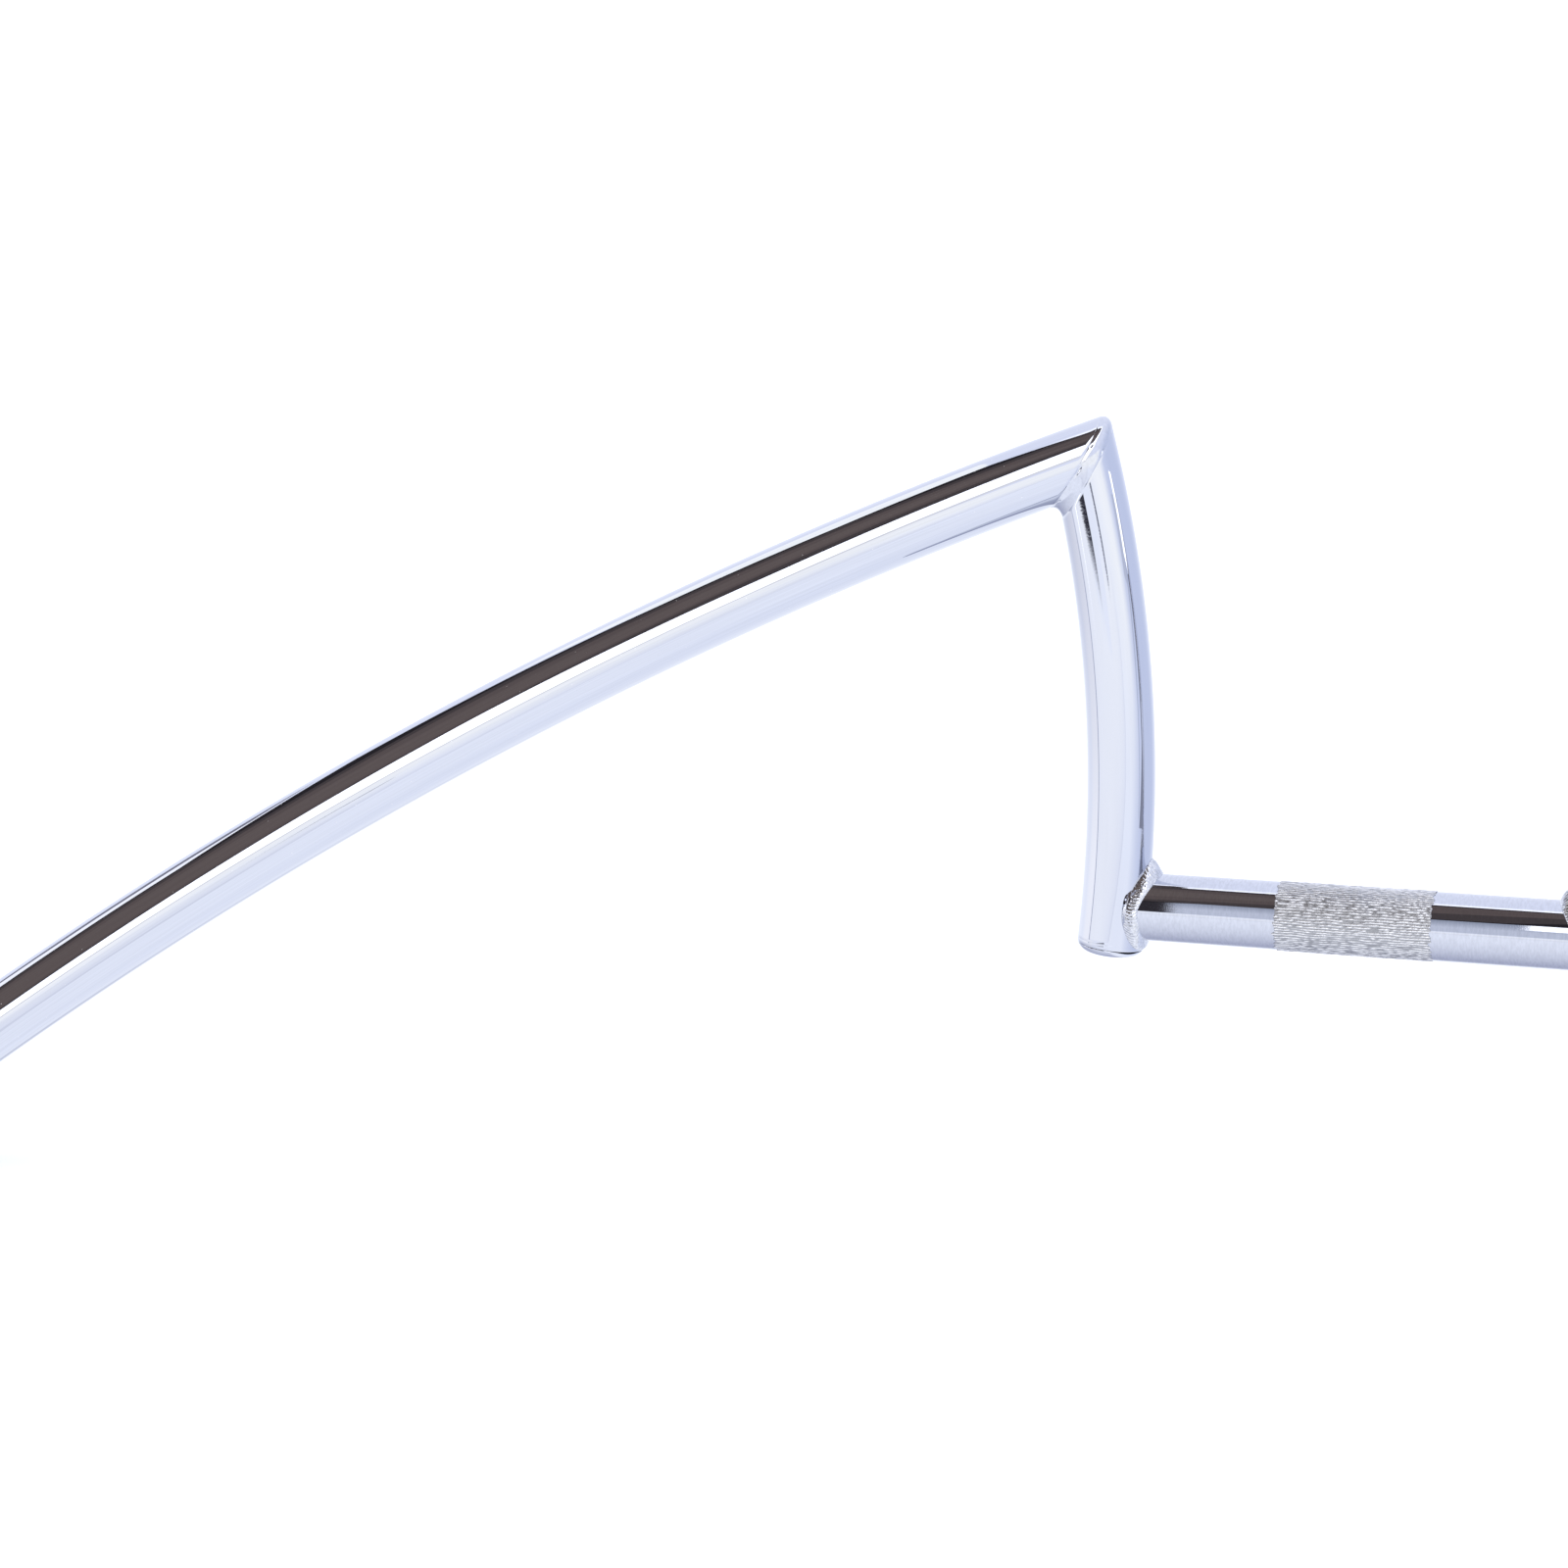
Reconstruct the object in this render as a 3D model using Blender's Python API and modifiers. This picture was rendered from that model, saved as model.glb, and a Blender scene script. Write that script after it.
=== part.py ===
"""Gull-wing motorcycle handlebar: a welded and chromed assembly of 22.2 mm steel tube.

A knurled clamp tube runs between two risers. Each riser climbs to a mitred corner, where a long
handle tube leaves it, sweeping outward, back toward the rider and down. The risers' lower ends are
closed by welded caps. All joints are welds, so nothing moves.

Frame: origin at the middle of the clamp tube, on its centreline. +X is to the rider's right along
the clamp tube, +Y is forward, +Z is up. Each riser and its handle lie in one upright plane, which
is swept back by SWEEP_BACK. Places in that plane are (outward, up) pairs measured from the point
where the riser's centreline crosses the clamp tube's centreline.
"""

import math

import bmesh
import bpy
from mathutils import Matrix, Vector

# Driving dimensions: metres and radians.
TUBE_OD = 0.0222
TUBE_WALL = 0.0025
FIT_GAP = 0.0003
TUBE_SIDES = 36

RISER_SPACING = 0.158
SWEEP_BACK = math.radians(22.0)
RISER_INWARD_LEAN = math.radians(4.5)
RISER_BEND_RADIUS = 0.450
RISER_LENGTH = 0.147
RISER_TAIL = 0.0117
RISER_SEGMENTS = 9

HANDLE_DROOP = math.radians(19.4)
HANDLE_BEND_RADIUS = 1.465
HANDLE_LENGTH = 0.460
HANDLE_SEGMENTS = 13

KNURL_LENGTH = 0.050
KNURL_RIDGES = 80
KNURL_CREST = 0.00025
KNURL_ROOT = 0.00003

MITRE_WELD_HALF_WIDTH = 0.0017
MITRE_WELD_CROWN = 0.0003
MITRE_CORNER_ROUNDING = 0.0010
MITRE_OVERRUN = 0.024

CLAMP_WELD_RADIUS = 0.0036
CLAMP_WELD_SINK = 0.0020
CLAMP_WELD_SETBACK = 0.0050
CLAMP_WELD_POINTS = 36
CLAMP_WELD_SIDES = 12

CAP_CORNER_RADIUS = 0.0043
CAP_DROP = 0.0162
CAP_WELD_HEIGHT = 0.0016
CAP_SPIGOT_LENGTH = 0.0030
CAP_ARC_STEPS = 6

SHARP_ANGLE = math.radians(35.0)

# Worked out from the driving dimensions.
TUBE_RADIUS = TUBE_OD / 2
BORE_RADIUS = TUBE_RADIUS - TUBE_WALL
RISER_START_ANGLE = -RISER_INWARD_LEAN
RISER_END_ANGLE = RISER_START_ANGLE + RISER_LENGTH / RISER_BEND_RADIUS
HANDLE_START_ANGLE = math.pi / 2 + HANDLE_DROOP
MITRE_HALF_ANGLE = (math.pi - HANDLE_START_ANGLE + RISER_END_ANGLE) / 2
SIDES = {"left": -1, "right": 1}


def clear_scene():
    for obj in list(bpy.data.objects):
        bpy.data.objects.remove(obj, do_unlink=True)


def make_collection(name):
    collection = bpy.data.collections.new(name)
    bpy.context.scene.collection.children.link(collection)
    return collection


def make_material(name, colour, roughness):
    material = bpy.data.materials.new(name)
    material.use_nodes = True
    shader = material.node_tree.nodes["Principled BSDF"]
    shader.inputs["Base Color"].default_value = (*colour, 1.0)
    shader.inputs["Metallic"].default_value = 1.0
    shader.inputs["Roughness"].default_value = roughness
    return material


# ---------------------------------------------------------------- centrelines


def arc_place(start, start_angle, radius, distance):
    """The (outward, up) place at this distance along an arc. Angles turn from up toward outward."""
    angle = start_angle + distance / radius
    outward = start[0] + radius * (math.cos(start_angle) - math.cos(angle))
    up = start[1] + radius * (math.sin(angle) - math.sin(start_angle))
    return outward, up


def riser_place(distance):
    return arc_place((0.0, 0.0), RISER_START_ANGLE, RISER_BEND_RADIUS, distance)


def handle_place(distance):
    return arc_place(riser_place(RISER_LENGTH), HANDLE_START_ANGLE, HANDLE_BEND_RADIUS, distance)


def to_world(side, place):
    """The point in space of an (outward, up) place in the left or right plane."""
    outward, up = place
    across = RISER_SPACING / 2 + outward * math.cos(SWEEP_BACK)
    return Vector((SIDES[side] * across, -outward * math.sin(SWEEP_BACK), up))


def direction(side, angle):
    """The unit vector at this angle from up toward outward, in the left or right plane."""
    outward, up = math.sin(angle), math.cos(angle)
    across = SIDES[side] * outward * math.cos(SWEEP_BACK)
    return Vector((across, -outward * math.sin(SWEEP_BACK), up))


def plane_normal(side):
    return direction(side, 0.0).cross(direction(side, math.pi / 2))


def centreline(side, place_at, start, end, segments):
    """Points along a riser or handle, evenly spaced from start to end."""
    step = (end - start) / segments
    return [to_world(side, place_at(start + step * i)) for i in range(segments + 1)]


# ---------------------------------------------------------------- building blocks


def add_object(name, mesh, collection, material=None):
    obj = bpy.data.objects.new(name, mesh)
    collection.objects.link(obj)
    if material:
        mesh.materials.append(material)
    return obj


def finish_shading(obj):
    obj.data.shade_smooth()
    obj.data.set_sharp_from_angle(angle=SHARP_ANGLE)


def swept_mesh(name, points, radius, sides, cyclic=False, capped=True):
    """A round section swept along the points, as a mesh with its caps welded on."""
    curve = bpy.data.curves.new(name, "CURVE")
    curve.dimensions = "3D"
    curve.twist_mode = "MINIMUM"
    curve.bevel_depth = radius
    curve.bevel_resolution = (sides - 4) // 2
    curve.use_fill_caps = capped and not cyclic
    spline = curve.splines.new("POLY")
    spline.points.add(len(points) - 1)
    for control, point in zip(spline.points, points):
        control.co = (*point, 1.0)
    spline.use_cyclic_u = cyclic
    guide = bpy.data.objects.new(name + "_guide", curve)
    bpy.context.scene.collection.objects.link(guide)
    bpy.context.view_layer.update()
    evaluated = guide.evaluated_get(bpy.context.evaluated_depsgraph_get())
    mesh = bpy.data.meshes.new_from_object(evaluated)
    bpy.data.objects.remove(guide, do_unlink=True)
    shape = bmesh.new()
    shape.from_mesh(mesh)
    bmesh.ops.remove_doubles(shape, verts=shape.verts, dist=0.00001)
    bmesh.ops.recalc_face_normals(shape, faces=shape.faces)
    shape.to_mesh(mesh)
    shape.free()
    return mesh


def cylinder_mesh(name, radius, length, sides):
    """A closed cylinder along X, centred on the origin."""
    mesh = bpy.data.meshes.new(name)
    shape = bmesh.new()
    turn = Matrix.Rotation(math.pi / 2, 4, "Y")
    bmesh.ops.create_cone(
        shape, cap_ends=True, segments=sides, radius1=radius, radius2=radius, depth=length, matrix=turn
    )
    shape.to_mesh(mesh)
    shape.free()
    return mesh


def add_cutter(name, mesh, collection):
    cutter = add_object(name, mesh, collection)
    cutter.hide_render = True
    cutter.display_type = "WIRE"
    return cutter


def add_boolean(obj, name, other, operation="DIFFERENCE"):
    modifier = obj.modifiers.new(name, "BOOLEAN")
    modifier.operation = operation
    modifier.solver = "EXACT"
    modifier.object = other


def add_turned(name, profile, collection, material, closed=False):
    """A profile of (radius, height) points, run down its outer side, turned round the local Z axis."""
    mesh = bpy.data.meshes.new(name)
    shape = bmesh.new()
    corners = [shape.verts.new((radius, 0.0, height)) for radius, height in profile]
    following = corners[1:] + corners[:1] if closed else corners[1:]
    for first, second in zip(corners, following):
        shape.edges.new((first, second))
    shape.to_mesh(mesh)
    shape.free()
    obj = add_object(name, mesh, collection, material)
    screw = obj.modifiers.new("Turn", "SCREW")
    screw.steps = TUBE_SIDES
    screw.render_steps = TUBE_SIDES
    screw.use_merge_vertices = True
    screw.merge_threshold = 0.00001
    screw.use_smooth_shade = True
    return obj


# ---------------------------------------------------------------- sub-parts


def add_riser_envelope(side, cutters):
    """The riser's outside plus the fit gap, run past its lower end. It copes the clamp tube."""
    reach = RISER_TAIL + 0.012
    points = centreline(side, riser_place, -reach, RISER_LENGTH, RISER_SEGMENTS)
    mesh = swept_mesh(f"{side}_riser_envelope", points, TUBE_RADIUS + FIT_GAP, TUBE_SIDES)
    return add_cutter(f"{side}_riser_envelope", mesh, cutters)


def add_mitre_cutter(name, side, tube_angle, away, cutters):
    """A block with one face parallel to the mitre, clear of the weld that fills the corner.

    tube_angle is the direction of the tube that the block trims, and away is 1 where the block
    lies further along that direction and -1 where it lies before it.
    """
    block = 0.080
    corner = to_world(side, riser_place(RISER_LENGTH))
    setback = MITRE_WELD_HALF_WIDTH + FIT_GAP
    face = corner - direction(side, tube_angle) * setback * away
    across = direction(side, (RISER_END_ANGLE + HANDLE_START_ANGLE) / 2)
    mesh = bpy.data.meshes.new(name)
    shape = bmesh.new()
    bmesh.ops.create_cube(shape, size=block)
    shape.to_mesh(mesh)
    shape.free()
    cutter = add_cutter(name, mesh, cutters)
    cutter.rotation_euler = across.to_track_quat("Z", "Y").to_euler()
    cutter.location = face + across * away * block / 2
    return cutter


def add_bent_tube(name, points, collection, material):
    """A hollow tube along the points, open at both ends."""
    mesh = swept_mesh(name, points, TUBE_RADIUS, TUBE_SIDES, capped=False)
    obj = add_object(name, mesh, collection, material)
    wall = obj.modifiers.new("Wall", "SOLIDIFY")
    wall.thickness = TUBE_WALL
    wall.offset = -1.0
    return obj


def add_riser(side, collection, cutters, material):
    name = f"{side}_riser_tube"
    end = RISER_LENGTH + MITRE_OVERRUN
    points = centreline(side, riser_place, -RISER_TAIL, end, RISER_SEGMENTS)
    riser = add_bent_tube(name, points, collection, material)
    block = add_mitre_cutter(f"{side}_riser_mitre_block", side, RISER_END_ANGLE, 1, cutters)
    add_boolean(riser, "Mitre", block)
    finish_shading(riser)


def add_handle(side, collection, cutters, material):
    name = f"{side}_handle_tube"
    points = centreline(side, handle_place, -MITRE_OVERRUN, HANDLE_LENGTH, HANDLE_SEGMENTS)
    handle = add_bent_tube(name, points, collection, material)
    block = add_mitre_cutter(f"{side}_handle_mitre_block", side, HANDLE_START_ANGLE, -1, cutters)
    add_boolean(handle, "Mitre", block)
    finish_shading(handle)


def mitre_loop(side, radius_at, along):
    """One turn of the mitre weld, at a distance along the riser (below 0) or the handle (above 0)."""
    corner = to_world(side, riser_place(RISER_LENGTH))
    flat = plane_normal(side)
    ridge = direction(side, RISER_END_ANGLE - MITRE_HALF_ANGLE)
    axis = RISER_END_ANGLE if along < 0 else HANDLE_START_ANGLE
    shift = direction(side, axis) * along
    stretch = 1 / math.sin(MITRE_HALF_ANGLE)
    points = []
    for i in range(TUBE_SIDES):
        turn = 2 * math.pi * i / TUBE_SIDES
        radius = radius_at(turn)
        offset = flat * math.cos(turn) + ridge * stretch * math.sin(turn)
        points.append(corner + offset * radius + shift)
    return points


def add_mitre_weld(side, collection, material):
    """The ring of weld metal between riser and handle, ground nearly flush, through the wall."""

    def crowned(turn):
        return TUBE_RADIUS + MITRE_WELD_CROWN - MITRE_CORNER_ROUNDING * math.sin(turn) ** 5

    half = MITRE_WELD_HALF_WIDTH
    loops = [
        mitre_loop(side, lambda turn: TUBE_RADIUS, -half),
        mitre_loop(side, lambda turn: (TUBE_RADIUS + crowned(turn)) / 2, -half / 2),
        mitre_loop(side, crowned, 0.0),
        mitre_loop(side, lambda turn: (TUBE_RADIUS + crowned(turn)) / 2, half / 2),
        mitre_loop(side, lambda turn: TUBE_RADIUS, half),
        mitre_loop(side, lambda turn: BORE_RADIUS, half),
        mitre_loop(side, lambda turn: BORE_RADIUS, 0.0),
        mitre_loop(side, lambda turn: BORE_RADIUS, -half),
    ]
    name = f"{side}_mitre_weld"
    mesh = bpy.data.meshes.new(name)
    shape = bmesh.new()
    rings = [[shape.verts.new(point) for point in loop] for loop in loops]
    for ring, following in zip(rings, rings[1:] + rings[:1]):
        for i in range(TUBE_SIDES):
            j = (i + 1) % TUBE_SIDES
            shape.faces.new((ring[i], ring[j], following[j], following[i]))
    bmesh.ops.recalc_face_normals(shape, faces=shape.faces)
    shape.to_mesh(mesh)
    shape.free()
    finish_shading(add_object(name, mesh, collection, material))


def saddle_point(side, turn):
    """A point of the bead's path round the joint of clamp tube and riser. Turn 0 is its top.

    The two tubes' surfaces cross at a right angle above and below, and run into each other in
    front and behind. There the bead sinks in, and it rounds off the corner of the true joint.
    """
    sink = CLAMP_WELD_SINK * math.sin(turn) ** 2
    y = (TUBE_RADIUS - sink) * math.sin(turn)
    z = TUBE_RADIUS * math.cos(turn)
    # The riser's lean is small, so height stands for distance along it.
    centre = to_world(side, riser_place(z))
    clear = math.hypot(TUBE_RADIUS * math.cos(turn), CLAMP_WELD_SETBACK * math.sin(turn))
    return Vector((centre.x - SIDES[side] * clear, y, z))


def add_clamp_weld(side, envelope, clamp_envelope, collection, material):
    """The fillet bead all round the joint of clamp tube and riser."""
    name = f"{side}_clamp_weld"
    steps = CLAMP_WELD_POINTS
    points = [saddle_point(side, 2 * math.pi * i / steps) for i in range(steps)]
    mesh = swept_mesh(name, points, CLAMP_WELD_RADIUS, CLAMP_WELD_SIDES, cyclic=True)
    weld = add_object(name, mesh, collection, material)
    add_boolean(weld, "Riser", envelope)
    add_boolean(weld, "Clamp tube", clamp_envelope)
    finish_shading(weld)


def add_clamp_tube(envelopes, collection, cutters, material):
    """The tube that the clamps grip, with a band of lengthwise knurling round its middle."""
    body = cylinder_mesh("clamp_tube", TUBE_RADIUS, RISER_SPACING, TUBE_SIDES)
    tube = add_object("clamp_tube", body, collection, material)

    knurl = cylinder_mesh("knurl_band", TUBE_RADIUS + KNURL_CREST, KNURL_LENGTH, 2 * KNURL_RIDGES)
    valley = (TUBE_RADIUS + KNURL_ROOT) / (TUBE_RADIUS + KNURL_CREST)
    half_step = math.pi / (2 * KNURL_RIDGES)
    for vertex in knurl.vertices:
        turn = math.atan2(vertex.co.z, vertex.co.y) % (2 * math.pi)
        if int((turn + half_step) / (2 * half_step)) % 2:
            vertex.co.y *= valley
            vertex.co.z *= valley
    add_boolean(tube, "Knurl", add_cutter("knurl_band", knurl, cutters), "UNION")

    bore = cylinder_mesh("clamp_tube_bore", BORE_RADIUS, RISER_SPACING * 1.2, TUBE_SIDES)
    add_boolean(tube, "Bore", add_cutter("clamp_tube_bore", bore, cutters))
    for side, envelope in envelopes.items():
        add_boolean(tube, f"Cope {side}", envelope)
    finish_shading(tube)


def rounded_end(top, bottom):
    """The cap end's rounded outside between two heights, run top to bottom, as (radius, height)."""
    centre_radius = TUBE_RADIUS - CAP_CORNER_RADIUS
    centre_height = CAP_CORNER_RADIUS - CAP_DROP
    first = math.asin(min(1.0, max(0.0, (centre_height - top) / CAP_CORNER_RADIUS)))
    last = math.asin(min(1.0, max(0.0, (centre_height - bottom) / CAP_CORNER_RADIUS)))
    points = []
    for i in range(CAP_ARC_STEPS + 1):
        turn = first + (last - first) * i / CAP_ARC_STEPS
        radius = centre_radius + CAP_CORNER_RADIUS * math.cos(turn)
        points.append((radius, centre_height - CAP_CORNER_RADIUS * math.sin(turn)))
    return points


def stand_on_riser(obj, side):
    """Puts a turned piece on the riser's centreline, its local Z along the riser's lower end."""
    lower_end = RISER_START_ANGLE - RISER_TAIL / RISER_BEND_RADIUS
    along = direction(side, lower_end)
    obj.rotation_euler = along.to_track_quat("Z", "Y").to_euler()
    obj.location = to_world(side, riser_place(-RISER_TAIL)) + along * RISER_TAIL


def add_riser_end(side, collection, material, weld_material):
    """The cap that closes the riser's lower end, and the flush weld that holds it."""
    weld_top = -RISER_TAIL - FIT_GAP
    weld_bottom = weld_top - CAP_WELD_HEIGHT
    cap_top = weld_bottom - FIT_GAP
    ring = [(BORE_RADIUS, weld_top)] + rounded_end(weld_top, weld_bottom)
    ring.append((BORE_RADIUS, weld_bottom))
    weld = add_turned(f"{side}_cap_weld", ring, collection, weld_material, closed=True)
    stand_on_riser(weld, side)

    spigot = BORE_RADIUS - FIT_GAP
    spigot_top = -RISER_TAIL + CAP_SPIGOT_LENGTH
    profile = [(0.0, spigot_top), (spigot, spigot_top), (spigot, cap_top)]
    profile += rounded_end(cap_top, -CAP_DROP) + [(0.0, -CAP_DROP)]
    cap = add_turned(f"{side}_riser_cap", profile, collection, material)
    stand_on_riser(cap, side)


def main():
    clear_scene()
    parts = make_collection("handlebar")
    cutters = make_collection("cutters")
    chrome = make_material("chrome_tube", (0.82, 0.83, 0.88), 0.06)
    knurled = make_material("chrome_clamp_tube", (0.80, 0.81, 0.85), 0.12)
    bead = make_material("chrome_weld_bead", (0.78, 0.79, 0.84), 0.22)
    ground = make_material("chrome_ground_weld", (0.80, 0.81, 0.86), 0.12)

    envelopes = {side: add_riser_envelope(side, cutters) for side in SIDES}
    clamp_mesh = cylinder_mesh(
        "clamp_tube_envelope", TUBE_RADIUS + FIT_GAP, RISER_SPACING * 1.2, TUBE_SIDES
    )
    clamp_envelope = add_cutter("clamp_tube_envelope", clamp_mesh, cutters)

    add_clamp_tube(envelopes, parts, cutters, knurled)
    for side in SIDES:
        add_riser(side, parts, cutters, chrome)
        add_handle(side, parts, cutters, chrome)
        add_mitre_weld(side, parts, ground)
        add_clamp_weld(side, envelopes[side], clamp_envelope, parts, bead)
        add_riser_end(side, parts, chrome, ground)


main()
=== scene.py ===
"""Studio picture of a chromed gull-wing motorcycle handlebar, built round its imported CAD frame.

The CAD tubes, welds and caps are faceted, so each is replaced by a finely meshed piece of the
same size in the same place. Distances are metres and angles radians, in the CAD frame: origin in
the middle of the clamp tube, +X to the rider's right, +Y forward, +Z up.
"""

import math

import bmesh
import bpy
import numpy as np
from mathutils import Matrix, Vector, noise

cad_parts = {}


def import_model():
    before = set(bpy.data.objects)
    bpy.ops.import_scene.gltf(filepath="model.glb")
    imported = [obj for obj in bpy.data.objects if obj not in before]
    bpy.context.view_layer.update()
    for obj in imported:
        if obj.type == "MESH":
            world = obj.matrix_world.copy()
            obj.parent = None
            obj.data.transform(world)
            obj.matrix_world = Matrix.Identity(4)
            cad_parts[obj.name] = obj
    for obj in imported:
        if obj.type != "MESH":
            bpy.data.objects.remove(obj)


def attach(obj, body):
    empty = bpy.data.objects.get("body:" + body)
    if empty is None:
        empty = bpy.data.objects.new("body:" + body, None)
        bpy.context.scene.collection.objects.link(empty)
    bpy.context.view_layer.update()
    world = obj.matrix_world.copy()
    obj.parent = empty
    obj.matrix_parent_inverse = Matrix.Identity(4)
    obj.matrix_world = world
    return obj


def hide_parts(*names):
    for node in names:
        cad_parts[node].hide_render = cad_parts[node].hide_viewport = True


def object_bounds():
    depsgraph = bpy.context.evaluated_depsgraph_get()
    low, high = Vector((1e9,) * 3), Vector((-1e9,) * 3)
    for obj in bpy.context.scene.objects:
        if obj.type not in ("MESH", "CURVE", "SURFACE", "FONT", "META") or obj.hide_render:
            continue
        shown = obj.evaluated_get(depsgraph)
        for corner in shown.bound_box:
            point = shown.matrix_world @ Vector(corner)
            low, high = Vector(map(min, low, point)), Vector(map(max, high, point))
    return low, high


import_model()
cad_low, cad_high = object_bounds()

# The CAD design's driving dimensions, repeated here because the frame holds only its meshes.
TUBE_RADIUS = 0.0111
BORE_RADIUS = 0.0086
RISER_SPACING = 0.158
SWEEP_BACK = math.radians(22.0)
RISER_START_ANGLE = math.radians(-4.5)
RISER_BEND_RADIUS = 0.450
RISER_LENGTH = 0.147
RISER_TAIL = 0.0117
HANDLE_START_ANGLE = math.radians(109.4)
HANDLE_BEND_RADIUS = 1.465
HANDLE_LENGTH = 0.460
KNURL_LENGTH = 0.050
KNURL_RIDGES = 80
CAP_CORNER_RADIUS = 0.0043
CAP_DROP = 0.0162

RISER_END_ANGLE = RISER_START_ANGLE + RISER_LENGTH / RISER_BEND_RADIUS
MITRE_HALF_ANGLE = (math.pi - HANDLE_START_ANGLE + RISER_END_ANGLE) / 2
MITRE_NORMAL_ANGLE = (RISER_END_ANGLE + HANDLE_START_ANGLE) / 2
SIDES = {"left": -1, "right": 1}

# How many points go round a tube, and the radius of its rims: rounded, or left sharp at a weld.
TUBE_AROUND = 144
RIM = 0.0004
SHARP_RIM = 0.00002


# ---------------------------------------------------------------- centrelines


def arc_place(start, start_angle, radius, distance):
    """(outward, up, angle) at distances along an arc. Angles turn from up toward outward."""
    angle = start_angle + distance / radius
    outward = start[0] + radius * (math.cos(start_angle) - np.cos(angle))
    up = start[1] + radius * (np.sin(angle) - math.sin(start_angle))
    return outward, up, angle


def riser_place(distance):
    return arc_place((0.0, 0.0), RISER_START_ANGLE, RISER_BEND_RADIUS, distance)


CORNER = riser_place(RISER_LENGTH)[:2]


def handle_place(distance):
    return arc_place(CORNER, HANDLE_START_ANGLE, HANDLE_BEND_RADIUS, distance)


def to_world(side, outward, up):
    """Points in space from places in the left or right plane."""
    across = RISER_SPACING / 2 + outward * math.cos(SWEEP_BACK)
    return np.stack([SIDES[side] * across, -outward * math.sin(SWEEP_BACK), up + 0 * outward], -1)


def direction(side, angle):
    """Unit vectors at angles from up toward outward, in the left or right plane."""
    outward, up = np.sin(angle), np.cos(angle)
    across = SIDES[side] * outward * math.cos(SWEEP_BACK)
    return np.stack([across, -outward * math.sin(SWEEP_BACK), up], -1)


def plane_normal(side):
    return np.cross(direction(side, 0.0), direction(side, math.pi / 2))


def tube_surface(side, place_at, distance, turn, radius):
    """Points on a bent tube. Turn 0 faces out of the plane of the bend, and a quarter turn up."""
    outward, up, angle = place_at(distance)
    upper = direction(side, angle - math.pi / 2)
    turn = np.asarray(turn)[..., None]
    offset = plane_normal(side) * np.cos(turn) + upper * np.sin(turn)
    return to_world(side, outward, up) + offset * np.asarray(radius)[..., None]


def mitre_distance(side, place_at, near, turn, radius):
    """The distance along a tube at which each line of its surface meets the mitre plane."""
    corner = to_world(side, *CORNER)
    normal = direction(side, MITRE_NORMAL_ANGLE)
    distance = near + 0 * turn
    for _ in range(6):
        gap = (tube_surface(side, place_at, distance, turn, radius) - corner) @ normal
        distance = distance - gap / math.sin(MITRE_HALF_ANGLE)
    return distance


# ---------------------------------------------------------------- mesh building


def ring_mesh(name, rings, straight=None):
    """A closed mesh through rings of points, each joined to the next and the last to the first.

    straight holds each point's place on the unbent tube, which the materials use for their grain.
    """
    rings = np.asarray(rings, float)
    count, around = rings.shape[:2]
    index = np.arange(count * around).reshape(count, around)
    following = np.roll(index, -1, axis=0)
    beside = np.roll(index, -1, axis=1)
    beyond = np.roll(following, -1, axis=1)
    faces = np.stack([index, beside, beyond, following], axis=-1).reshape(-1, 4)
    mesh = bpy.data.meshes.new(name)
    mesh.from_pydata(rings.reshape(-1, 3).tolist(), [], faces.tolist())
    shape = bmesh.new()
    shape.from_mesh(mesh)
    bmesh.ops.recalc_face_normals(shape, faces=shape.faces)
    shape.to_mesh(mesh)
    shape.free()
    mesh.shade_smooth()
    places = rings if straight is None else np.asarray(straight, float)
    attribute = mesh.attributes.new("straight", "FLOAT_VECTOR", "POINT")
    attribute.data.foreach_set("vector", places.reshape(-1).astype(np.float32))
    return mesh


def add_piece(name, mesh, material, slot, *nodes):
    """A visible piece that rides on the bar and stands for the CAD nodes named."""
    obj = bpy.data.objects.new(name, mesh)
    bpy.context.scene.collection.objects.link(obj)
    mesh.materials.append(material)
    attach(obj, "root")
    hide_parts(*nodes)


def full_turn(count):
    return np.arange(count) * 2 * math.pi / count


def rim_sections(share, rim, radius, turned_in, angles):
    """The (share, inset, radius) sections of a rounded rim, turned_in being 1 or -1."""
    return [
        (share, rim * (1 - math.sin(angle)), radius + turned_in * abs(rim) * (1 - math.cos(angle)))
        for angle in angles
    ]


def bent_tube(name, side, place_at, first, last, step, first_rim=RIM):
    """A hollow bent tube from first to last, which give a distance for each line of its surface.

    Each section has its share of the way from first to last, its inset from there and its radius.
    """
    turn = full_turn(TUBE_AROUND)
    rows = int(round(float(np.mean(last(turn) - first(turn))) / step))
    bore_rows = max(4, rows // 5)
    quarter = np.radians([0, 30, 60, 90])
    sections = []
    for row in range(rows + 1):
        sections.append((row / rows, first_rim + (-RIM - first_rim) * row / rows, TUBE_RADIUS))
    sections += rim_sections(1.0, -RIM, TUBE_RADIUS, -1, quarter[1:])
    sections += rim_sections(1.0, -RIM, BORE_RADIUS, 1, quarter[::-1])
    for row in range(bore_rows - 1, 0, -1):
        sections.append((row / bore_rows, 0.0, BORE_RADIUS))
    sections += rim_sections(0.0, first_rim, BORE_RADIUS, 1, quarter)
    sections += rim_sections(0.0, first_rim, TUBE_RADIUS, -1, quarter[:0:-1])
    share, inset, radius = (np.array(column)[:, None] for column in zip(*sections))
    start, end = first(turn), last(turn)
    distance = start + (end - start) * share + inset
    turns = turn + 0 * distance
    rings = tube_surface(side, place_at, distance, turns, radius + 0 * distance)
    straight = np.stack([distance, radius * np.cos(turns), radius * np.sin(turns)], -1)
    return ring_mesh(name, rings, straight)


# ---------------------------------------------------------------- corner weld

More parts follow.
